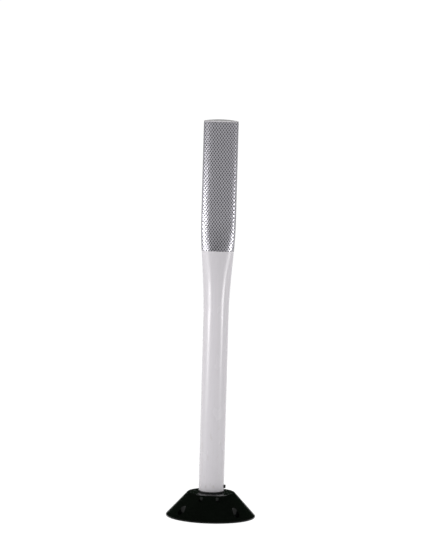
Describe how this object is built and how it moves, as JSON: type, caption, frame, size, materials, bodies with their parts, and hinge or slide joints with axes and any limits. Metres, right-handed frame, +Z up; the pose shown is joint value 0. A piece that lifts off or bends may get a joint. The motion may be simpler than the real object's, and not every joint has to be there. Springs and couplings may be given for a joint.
{
  "type": "rebounding traffic post",
  "caption": "White tubular rebound post with a flattened reflective top, held upright on a black conical base by a sprung cable, so that a knock tips it and it swings back.",
  "frame": {"origin": "centre of the base's underside, on the ground", "axes": "+Z up along the post; the post's flat faces look along -Y and +Y; the lock button is on +X"},
  "size_m": [0.206, 0.206, 0.914],
  "materials": {
    "base_moulding": "gloss black moulded",
    "zinc_steel": "zinc plated",
    "guide_nylon": "natural nylon",
    "cover_plastic": "fine satin black",
    "wear_ring": "matt black",
    "tube_white": "satin white extruded",
    "reflective_film": "silver prismatic sheeting",
    "cap_white": "satin white moulded",
    "bush_nylon": "black nylon",
    "spring_steel": "oiled spring steel",
    "cable_steel": "galvanised wire rope",
    "button_black": "black acetal"
  },
  "bodies": {
    "base": {"base_cone": "base_moulding", "anchor_ferrules": "zinc_steel", "core_plate": "zinc_steel", "plate_screws": "zinc_steel", "cable_guide": "guide_nylon", "cable_anchor": "zinc_steel", "bottom_cover": "cover_plastic", "cover_screws": "zinc_steel"},
    "rocker": {"foot_washer": "wear_ring"},
    "post": {"post_tube": "tube_white", "reflective_band": "reflective_film", "top_cap": "cap_white", "foot_bush": "bush_nylon", "lower_spring_seat": "zinc_steel", "rebound_spring": "spring_steel", "button_spring": "spring_steel", "tension_cable": "cable_steel"},
    "tensioner": {"upper_spring_seat": "zinc_steel", "cable_stud": "zinc_steel", "tension_nut": "zinc_steel", "lock_nut": "zinc_steel"},
    "button": {"lock_button": "button_black"}
  },
  "joints": [
    {"name": "knock_back", "type": "hinge", "parent": "base", "child": "rocker", "pos_m": [0, 0.029, 0.0563], "axis": [1, 0, 0], "range_deg": [-90, 0], "stiffness_Nm_per_rad": 7.6, "springref_deg": 128.34, "deforming": ["tension_cable"]},
    {"name": "knock_forward", "type": "hinge", "parent": "rocker", "child": "post", "pos_m": [0, -0.029, 0.059], "axis": [1, 0, 0], "range_deg": [0, 90], "stiffness_Nm_per_rad": 7.6, "springref_deg": -128.34},
    {"name": "cable_pull", "type": "slide", "parent": "post", "child": "tensioner", "axis": [0, 0, -1], "range_m": [0, 0.041], "stiffness_N_per_m": 400, "springref_m": -0.05, "deforming": ["rebound_spring"]},
    {"name": "lock_button_press", "type": "slide", "parent": "post", "child": "button", "axis": [-1, 0, 0], "range_m": [0, 0.004], "stiffness_N_per_m": 1500, "springref_m": -0.003, "deforming": ["button_spring"]}
  ],
  "couplings": [
    {"joint": "cable_pull", "follows": "knock_back", "m_per_rad": -0.0261}
  ]
}
